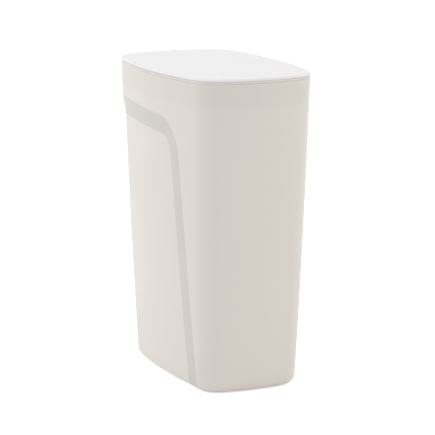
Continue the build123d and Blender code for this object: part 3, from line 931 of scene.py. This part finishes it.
def moulded_grain():
    """Fine mould texture with a slow drift of tone, as on satin moulded plastic."""
    name = "Moulded grain"
    if name in bpy.data.node_groups:
        return bpy.data.node_groups[name]
    group, inlet, outlet = new_group(
        name,
        (("Colour", "NodeSocketColor", (0.8, 0.8, 0.8, 1.0)),
         ("Roughness", "NodeSocketFloat", 0.45),
         ("Grain Scale", "NodeSocketFloat", 2600.0),
         ("Drift", "NodeSocketFloat", 0.015)),
        (("Colour", "NodeSocketColor"),
         ("Roughness", "NodeSocketFloat"),
         ("Height", "NodeSocketFloat")))
    place = object_place(group)
    grain = noise_node(group, place, inlet.outputs["Grain Scale"], detail=3.0)
    slow = noise_node(group, place, DRIFT_SCALE, detail=2.0)
    upright = stretched(group, place, NO_TURN, FLOW_STRETCH)
    flow = noise_node(group, upright, FLOW_SCALE, detail=3.0)
    drift = swung(group, slow, inlet.outputs["Drift"])
    lines = swung(group, flow, inlet.outputs["Drift"])
    speckle = swung(group, grain, GRAIN_TONE)
    total = math_node(group, "ADD", math_node(group, "ADD", drift, lines), speckle)
    grey = math_node(group, "ADD", total, 1.0)
    group.links.new(shaded(group, inlet.outputs["Colour"], grey), outlet.inputs["Colour"])
    shift = swung(group, slow, DRIFT_ROUGHNESS)
    fine = swung(group, grain, GRAIN_ROUGHNESS)
    drifting = math_node(group, "ADD", inlet.outputs["Roughness"], shift)
    rough = math_node(group, "ADD", drifting, fine, clamp=True)
    group.links.new(rough, outlet.inputs["Roughness"])
    group.links.new(grain, outlet.inputs["Height"])
    return group


def handling_marks():
    """Hair-fine scratches and faint rubbed patches from use."""
    name = "Handling marks"
    if name in bpy.data.node_groups:
        return bpy.data.node_groups[name]
    group, inlet, outlet = new_group(
        name,
        (("Amount", "NodeSocketFloat", 0.5),),
        (("Scratch", "NodeSocketFloat"), ("Rub", "NodeSocketFloat")))
    place = object_place(group)
    hairs = []
    for turn, scale in HAIRS:
        streak = noise_node(group, stretched(group, place, turn, scale), 1.0, detail=2.0)
        hairs.append(range_node(group, streak, *HAIR_EDGE, 0.0, 1.0))
    patch = noise_node(group, place, PATCH_SCALE, detail=2.0)
    held = range_node(group, patch, *PATCH_EDGE, 0.0, 1.0, smooth=True)
    rub = math_node(group, "MULTIPLY", held, inlet.outputs["Amount"])
    scratch = math_node(group, "MULTIPLY", math_node(group, "MAXIMUM", *hairs), rub)
    group.links.new(scratch, outlet.inputs["Scratch"])
    group.links.new(rub, outlet.inputs["Rub"])
    return group


def drawn_metal():
    """Fine lines along the length of drawn or rolled metal, with dull spots."""
    name = "Drawn metal"
    if name in bpy.data.node_groups:
        return bpy.data.node_groups[name]
    group, inlet, outlet = new_group(
        name,
        (("Colour", "NodeSocketColor", (0.6, 0.6, 0.6, 1.0)),
         ("Roughness", "NodeSocketFloat", 0.35)),
        (("Colour", "NodeSocketColor"),
         ("Roughness", "NodeSocketFloat"),
         ("Height", "NodeSocketFloat")))
    place = object_place(group)
    lines = noise_node(group, stretched(group, place, NO_TURN, LINE_STRETCH), 1.0, detail=3.0)
    spots = noise_node(group, place, SPOT_SCALE, detail=3.0)
    dull = range_node(group, spots, *SPOT_EDGE, 0.0, 1.0)
    lined = tinted(group, inlet.outputs["Colour"], lines, LINE_TONE)
    bright = rest_of(group, math_node(group, "MULTIPLY", dull, SPOT_SHARE))
    group.links.new(tinted(group, lined, bright, SPOT_TONE), outlet.inputs["Colour"])
    line_grit = math_node(group, "MULTIPLY", lines, LINE_ROUGHNESS)
    spot_grit = math_node(group, "MULTIPLY", dull, SPOT_ROUGHNESS)
    grit = math_node(group, "ADD", line_grit, spot_grit)
    rough = math_node(group, "ADD", inlet.outputs["Roughness"], grit, clamp=True)
    group.links.new(rough, outlet.inputs["Roughness"])
    group.links.new(lines, outlet.inputs["Height"])
    return group


# Materials

# How softly the painted shade of the band under the rim and of the recess border begins and ends
RIM_PAINTED_SHADE_SOFTNESS = 0.004
BORDER_PAINTED_SHADE_SOFTNESS = 0.0008

# Scratches and rubbed patches in plastic: how dark, how deep and how much glossier
SCRATCH_SHARE = 0.35
SCRATCH_TONE = 0.75
SCRATCH_DEPTH = 0.6
RUB_GLOSS = 0.08

# Heights that bump of full strength stands for
PLASTIC_BUMP = 0.00006
METAL_BUMP = 0.00004
RUBBER_BUMP = 0.00008

# Dust on the rubber
DUST_COLOUR = (0.30, 0.29, 0.27, 1.0)
DUST_SCALE = 160.0
DUST_EDGE = (0.45, 0.75)
DUST_SHARE = 0.25


def new_material(name):
    """A node material, its tree and its shader."""
    material = bpy.data.materials.new(name)
    material.use_nodes = True
    return material, material.node_tree, material.node_tree.nodes["Principled BSDF"]


def placed(tree, group, **values):
    """A node for that group, with its inputs set by name."""
    node = tree.nodes.new("ShaderNodeGroup")
    node.node_tree = group
    for label, value in values.items():
        node.inputs[label.replace("_", " ")].default_value = value
    return node


def bumped(tree, shader, height, strength, distance):
    """Gives the shader a bump."""
    bump = tree.nodes.new("ShaderNodeBump")
    bump.inputs["Strength"].default_value = strength
    bump.inputs["Distance"].default_value = distance
    tree.links.new(height, bump.inputs["Height"])
    tree.links.new(bump.outputs["Normal"], shader.inputs["Normal"])


def paint_shade_on_rim_band(tree, colour, low, high, tone):
    """Paints shade into a colour in a band between two heights, standing for the frame's skirt that
    keeps light from the wall behind it.
    """
    parts = tree.nodes.new("ShaderNodeSeparateXYZ")
    tree.links.new(object_place(tree), parts.inputs[0])
    rise = (low - RIM_PAINTED_SHADE_SOFTNESS, low + RIM_PAINTED_SHADE_SOFTNESS)
    fall = (high - RIM_PAINTED_SHADE_SOFTNESS, high)
    return tinted(tree, colour, rest_of(tree, within(tree, parts.outputs["Z"], rise, fall)), tone)


def paint_shade_on_border(tree, colour, width, tone):
    """Paints shade into a colour on the sloped border of the recess, standing for the shade of its
    slope.
    """
    run = tree.nodes.new("ShaderNodeAttribute")
    run.attribute_name = RECESS_RUN
    rise = (-BORDER_PAINTED_SHADE_SOFTNESS, BORDER_PAINTED_SHADE_SOFTNESS)
    fall = (width - BORDER_PAINTED_SHADE_SOFTNESS, width + BORDER_PAINTED_SHADE_SOFTNESS)
    return tinted(tree, colour, rest_of(tree, within(tree, run.outputs["Fac"], rise, fall)), tone)


def moulded(name, colour, roughness, grain_scale, bump, marks, drift=0.015, band=None, border=None):
    """Moulded plastic: grain, drifting tone, scratches and rubbed patches, and painted shade on a
    band and on the recess border when those are given.
    """
    material, tree, shader = new_material(name)
    grain = placed(
        tree, moulded_grain(), Colour=(*colour, 1.0), Roughness=roughness,
        Grain_Scale=grain_scale, Drift=drift)
    worn = placed(tree, handling_marks(), Amount=marks)
    shade = grain.outputs["Colour"]
    # Painted shade: the band under the rim is darkened, standing for the frame's skirt that keeps
    # light from the wall
    if band is not None:
        shade = paint_shade_on_rim_band(tree, shade, *band)
    # Painted shade: the sloped border of the recess is darkened, standing for the shade of its
    # slope
    if border is not None:
        shade = paint_shade_on_border(tree, shade, *border)
    clear = rest_of(tree, math_node(tree, "MULTIPLY", worn.outputs["Scratch"], SCRATCH_SHARE))
    tree.links.new(tinted(tree, shade, clear, SCRATCH_TONE), shader.inputs["Base Color"])
    rub = math_node(tree, "MULTIPLY", worn.outputs["Rub"], RUB_GLOSS)
    rough = math_node(tree, "SUBTRACT", grain.outputs["Roughness"], rub, clamp=True)
    tree.links.new(rough, shader.inputs["Roughness"])
    cut = math_node(tree, "MULTIPLY", worn.outputs["Scratch"], SCRATCH_DEPTH)
    height = math_node(tree, "SUBTRACT", grain.outputs["Height"], cut)
    bumped(tree, shader, height, bump, PLASTIC_BUMP)
    return material


def metal(name, colour, roughness, bump):
    """Drawn or plated steel."""
    material, tree, shader = new_material(name)
    drawn = placed(tree, drawn_metal(), Colour=(*colour, 1.0), Roughness=roughness)
    shader.inputs["Metallic"].default_value = 1.0
    tree.links.new(drawn.outputs["Colour"], shader.inputs["Base Color"])
    tree.links.new(drawn.outputs["Roughness"], shader.inputs["Roughness"])
    bumped(tree, shader, drawn.outputs["Height"], bump, METAL_BUMP)
    return material


def rubber(name, colour, roughness, grain_scale, bump, drift):
    """Soft matt rubber with a dusty face."""
    material, tree, shader = new_material(name)
    grain = placed(
        tree, moulded_grain(), Colour=(*colour, 1.0), Roughness=roughness,
        Grain_Scale=grain_scale, Drift=drift)
    patch = noise_node(tree, object_place(tree), DUST_SCALE, detail=4.0)
    dust = range_node(tree, patch, *DUST_EDGE, 0.0, 1.0, smooth=True)
    mix = tree.nodes.new("ShaderNodeMix")
    mix.data_type = "RGBA"
    tree.links.new(math_node(tree, "MULTIPLY", dust, DUST_SHARE), mix.inputs["Factor"])
    tree.links.new(grain.outputs["Colour"], mix.inputs["A"])
    mix.inputs["B"].default_value = DUST_COLOUR
    tree.links.new(mix.outputs["Result"], shader.inputs["Base Color"])
    tree.links.new(grain.outputs["Roughness"], shader.inputs["Roughness"])
    bumped(tree, shader, grain.outputs["Height"], bump, RUBBER_BUMP)
    return material


def dress(nodes, material):
    """Gives CAD nodes that material."""
    for name in nodes:
        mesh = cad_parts[name].data
        mesh.materials.clear()
        mesh.materials.append(material)
        if len(mesh.materials) != 1:
            raise RuntimeError(f"{name} did not take its material")


# Stage

WHITE = (1.0, 1.0, 1.0, 1.0)
FLOOR_HALF = 30.0
FLOOR_ROUGHNESS = 0.9
FLOOR_GLOSS = 0.1
LAMP_AIM = Vector((0.0, 0.0, 0.2))
KEY_PLACE = Vector((-2.2, 0.9, 2.25))
KEY_SIZE = 2.6
KEY_COLOUR = (1.0, 1.0, 1.0)
FILL_PLACE = Vector((2.7, -1.7, 1.4))
FILL_SIZE = 3.0
FILL_COLOUR = (1.0, 0.935, 0.86)
SENSOR = 36.0
FAR_CLIP = 200.0


def seen_directly(tree):
    """One for rays that show the background itself: from the camera, in gloss and through glass."""
    path = tree.nodes.new("ShaderNodeLightPath")
    shown = math_node(
        tree, "MAXIMUM", path.outputs["Is Camera Ray"], path.outputs["Is Glossy Ray"])
    return math_node(tree, "MAXIMUM", shown, path.outputs["Is Transmission Ray"])


def add_floor(scene, stage):
    """A wide white floor."""
    corners = ((-1, -1), (1, -1), (1, 1), (-1, 1))
    mesh = bpy.data.meshes.new("floor")
    mesh.from_pydata([(x * FLOOR_HALF, y * FLOOR_HALF, 0) for x, y in corners], [], [(0, 1, 2, 3)])
    floor = bpy.data.objects.new("floor", mesh)
    scene.collection.objects.link(floor)
    material, tree, shader = new_material("Floor paper")
    shader.inputs["Base Color"].default_value = (*stage.floor, 1.0)
    shader.inputs["Roughness"].default_value = FLOOR_ROUGHNESS
    shader.inputs["Specular IOR Level"].default_value = FLOOR_GLOSS
    shader.inputs["Emission Color"].default_value = WHITE
    lift = math_node(tree, "MULTIPLY", seen_directly(tree), stage.floor_lift)
    tree.links.new(lift, shader.inputs["Emission Strength"])
    mesh.materials.append(material)


def add_sky(scene, stage):
    """Soft light from all round, with a white background."""
    world = bpy.data.worlds.new("Soft room")
    world.use_nodes = True
    tree = world.node_tree
    light = tree.nodes["Background"]
    light.inputs["Color"].default_value = WHITE
    strength = range_node(tree, seen_directly(tree), 0.0, 1.0, stage.sky, 1.0)
    tree.links.new(strength, light.inputs["Strength"])
    scene.world = world


def add_lamp(scene, name, place, size, power, colour):
    """A large round lamp that is aimed at the bin."""
    lamp = bpy.data.lights.new(name, "AREA")
    lamp.shape = "DISK"
    lamp.size = size
    lamp.energy = power
    lamp.color = colour
    holder = bpy.data.objects.new(name, lamp)
    holder.location = place
    holder.rotation_euler = (LAMP_AIM - place).to_track_quat("-Z", "Y").to_euler()
    scene.collection.objects.link(holder)


def add_camera(scene, stage):
    """The camera that the photo was taken with, as far as the photo tells."""
    camera_data = bpy.data.cameras.new("Camera")
    camera_data.sensor_width = SENSOR
    camera_data.lens = stage.lens
    camera_data.clip_end = FAR_CLIP
    camera = bpy.data.objects.new("Camera", camera_data)
    right = Vector((math.cos(stage.azimuth), math.sin(stage.azimuth), 0.0))
    level = Vector((math.sin(stage.azimuth), -math.cos(stage.azimuth), 0.0))
    up = Vector((0.0, 0.0, 1.0))
    back = level * math.cos(stage.elevation) + up * math.sin(stage.elevation)
    aim = up * stage.aim_height + right * stage.aside
    camera.location = aim + back * stage.distance
    camera.rotation_euler = (-back).to_track_quat("-Z", "Y").to_euler()
    scene.collection.objects.link(camera)
    scene.camera = camera


# Operators

class BIN_OT_barrel(bpy.types.Operator):
    """Builds the barrel: tapered, bowed, with a recessed panel on its sides and back"""
    bl_idname = "bin.barrel"
    bl_label = "Barrel"

    def execute(self, context):
        form = context.scene.bin_form
        finish = context.scene.bin_finish
        material = moulded(
            "Barrel plastic", finish.barrel,
            roughness=0.42, grain_scale=2600.0, bump=0.25, marks=0.5,
            # Painted shade on the band under the rim, standing for the frame's skirt behind the
            # wall
            band=(FRAME_LOW.z, BARREL_HIGH.z, finish.rim_painted_shade),
            # Painted shade on the recess border, standing for the shade of its slope
            border=(form.recess_border, finish.border_painted_shade))
        piece = build_barrel(form, material)
        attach(piece, "bin")
        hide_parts("barrel")
        return {"FINISHED"}


class BIN_OT_cover(bpy.types.Operator):
    """Builds the flat lid cover with its thin rounded edge"""
    bl_idname = "bin.cover"
    bl_label = "Lid Cover"

    def execute(self, context):
        material = moulded(
            "Lid plastic", context.scene.bin_finish.lid,
            roughness=0.34, grain_scale=3200.0, bump=0.12, marks=0.2, drift=0.008)
        piece = build_cover(context.scene.bin_form, material)
        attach(piece, "lid")
        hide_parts("lid_cover")
        return {"FINISHED"}


class BIN_OT_liner(bpy.types.Operator):
    """Finishes the lid's underside tray with its knuckles and toothed sector"""
    bl_idname = "bin.liner"
    bl_label = "Lid Liner"

    def execute(self, context):
        dress(["lid_liner"], moulded(
            "Liner plastic", context.scene.bin_finish.liner,
            roughness=0.40, grain_scale=2400.0, bump=0.2, marks=0.5))
        return {"FINISHED"}


class BIN_OT_collar(bpy.types.Operator):
    """Finishes the lift-off frame between the barrel and the lid"""
    bl_idname = "bin.collar"
    bl_label = "Frame"

    def execute(self, context):
        dress(["top_frame"], moulded(
            "Frame plastic", context.scene.bin_finish.collar,
            roughness=0.40, grain_scale=2600.0, bump=0.2, marks=0.4))
        return {"FINISHED"}


class BIN_OT_hinge(bpy.types.Operator):
    """Finishes the hinge rod, the latch's cam pin, the torsion springs and the damper"""
    bl_idname = "bin.hinge"
    bl_label = "Hinge and Damper"

    def execute(self, context):
        finish = context.scene.bin_finish
        dress(["hinge_rod", "latch_cam_pin"], metal(
            "Rod steel", finish.steel, roughness=0.22, bump=0.15))
        dress(["torsion_spring_left", "torsion_spring_right"], metal(
            "Spring wire", finish.spring, roughness=0.30, bump=0.2))
        dress(["damper_body"], moulded(
            "Damper plastic", finish.dark_plastic,
            roughness=0.5, grain_scale=2200.0, bump=0.3, marks=0.6, drift=0.08))
        dress(["damper_pinion"], moulded(
            "Gear plastic", finish.gear,
            roughness=0.38, grain_scale=2400.0, bump=0.15, marks=0.3, drift=0.03))
        return {"FINISHED"}


class BIN_OT_latch(bpy.types.Operator):
    """Finishes the push latch: housing, plunger, magnet and strike plate"""
    bl_idname = "bin.latch"
    bl_label = "Push Latch"

    def execute(self, context):
        finish = context.scene.bin_finish
        dress(["latch_housing"], moulded(
            "Latch plastic", finish.latch,
            roughness=0.46, grain_scale=2300.0, bump=0.25, marks=0.5, drift=0.03))
        dress(["latch_plunger"], moulded(
            "Plunger plastic", finish.plunger,
            roughness=0.36, grain_scale=2300.0, bump=0.2, marks=0.7, drift=0.04))
        dress(["latch_magnet"], metal(
            "Magnet plating", finish.steel, roughness=0.14, bump=0.08))
        dress(["strike_plate"], metal(
            "Strike plate", finish.steel, roughness=0.30, bump=0.25))
        return {"FINISHED"}


class BIN_OT_coil(bpy.types.Operator):
    """Builds the latch's spring, which shortens as the plunger is pressed"""
    bl_idname = "bin.coil"
    bl_label = "Latch Spring"
    # Builds the latch's spring at its rest length and hangs it on the latch head

    def execute(self, context):
        material = metal(
            "Coil wire", context.scene.bin_finish.spring, roughness=0.30, bump=0.2)
        low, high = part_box("latch_spring")
        piece = build_coil(context.scene.bin_form, low, high, material)
        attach(piece, "head")
        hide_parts("latch_spring")
        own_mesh(piece)
        return {"FINISHED"}


class BIN_OT_screws(bpy.types.Operator):
    """Finishes the screws of the lid, the strike plate, the latch and the damper"""
    bl_idname = "bin.screws"
    bl_label = "Screws"

    def execute(self, context):
        names = ["lid_screws", "strike_screws", "latch_screws", "damper_screws"]
        dress(names, metal(
            "Screw steel", context.scene.bin_finish.steel, roughness=0.30, bump=0.2))
        return {"FINISHED"}


class BIN_OT_feet(bpy.types.Operator):
    """Finishes the four foot pads"""
    bl_idname = "bin.feet"
    bl_label = "Foot Pads"

    def execute(self, context):
        names = [f"foot_{end}_{side}" for end in ("front", "back") for side in ("left", "right")]
        dress(names, rubber(
            "Foot rubber", context.scene.bin_finish.rubber,
            roughness=0.78, grain_scale=1900.0, bump=0.5, drift=0.12))
        return {"FINISHED"}


class BIN_OT_stage(bpy.types.Operator):
    """Sets the floor, the soft light and the camera"""
    bl_idname = "bin.stage"
    bl_label = "Stage"

    def execute(self, context):
        scene = context.scene
        stage = scene.bin_stage
        scene.view_settings.view_transform = "Standard"
        add_floor(scene, stage)
        add_sky(scene, stage)
        add_lamp(scene, "Key", KEY_PLACE, KEY_SIZE, stage.key, KEY_COLOUR)
        add_lamp(scene, "Fill", FILL_PLACE, FILL_SIZE, stage.fill, FILL_COLOUR)
        add_camera(scene, stage)
        return {"FINISHED"}


# Panel and registration

BUILDERS = (
    BIN_OT_barrel, BIN_OT_cover, BIN_OT_liner, BIN_OT_collar, BIN_OT_hinge,
    BIN_OT_latch, BIN_OT_coil, BIN_OT_screws, BIN_OT_feet, BIN_OT_stage)


class BIN_PT_builders(bpy.types.Panel):
    """Lists the pieces of the waste bin"""
    bl_idname = "BIN_PT_builders"
    bl_label = "Waste Bin"
    bl_space_type = "VIEW_3D"
    bl_region_type = "UI"
    bl_category = "Waste Bin"

    def draw(self, context):
        for builder in BUILDERS:
            self.layout.operator(builder.bl_idname)
        for group in (context.scene.bin_form, context.scene.bin_finish, context.scene.bin_stage):
            column = self.layout.column(align=True)
            for label in group.__annotations__:
                column.prop(group, label)


CLASSES = (BinForm, BinFinish, BinStage, *BUILDERS, BIN_PT_builders)


def register():
    for item in CLASSES:
        bpy.utils.register_class(item)
    bpy.types.Scene.bin_form = PointerProperty(type=BinForm)
    bpy.types.Scene.bin_finish = PointerProperty(type=BinFinish)
    bpy.types.Scene.bin_stage = PointerProperty(type=BinStage)


def unregister():
    del bpy.types.Scene.bin_stage
    del bpy.types.Scene.bin_finish
    del bpy.types.Scene.bin_form
    for item in reversed(CLASSES):
        bpy.utils.unregister_class(item)


def main():
    register()
    bpy.ops.bin.barrel()
    bpy.ops.bin.cover()
    bpy.ops.bin.liner()
    bpy.ops.bin.collar()
    bpy.ops.bin.hinge()
    bpy.ops.bin.latch()
    bpy.ops.bin.coil()
    bpy.ops.bin.screws()
    bpy.ops.bin.feet()
    bpy.ops.bin.stage()


if __name__ == "__main__":
    main()
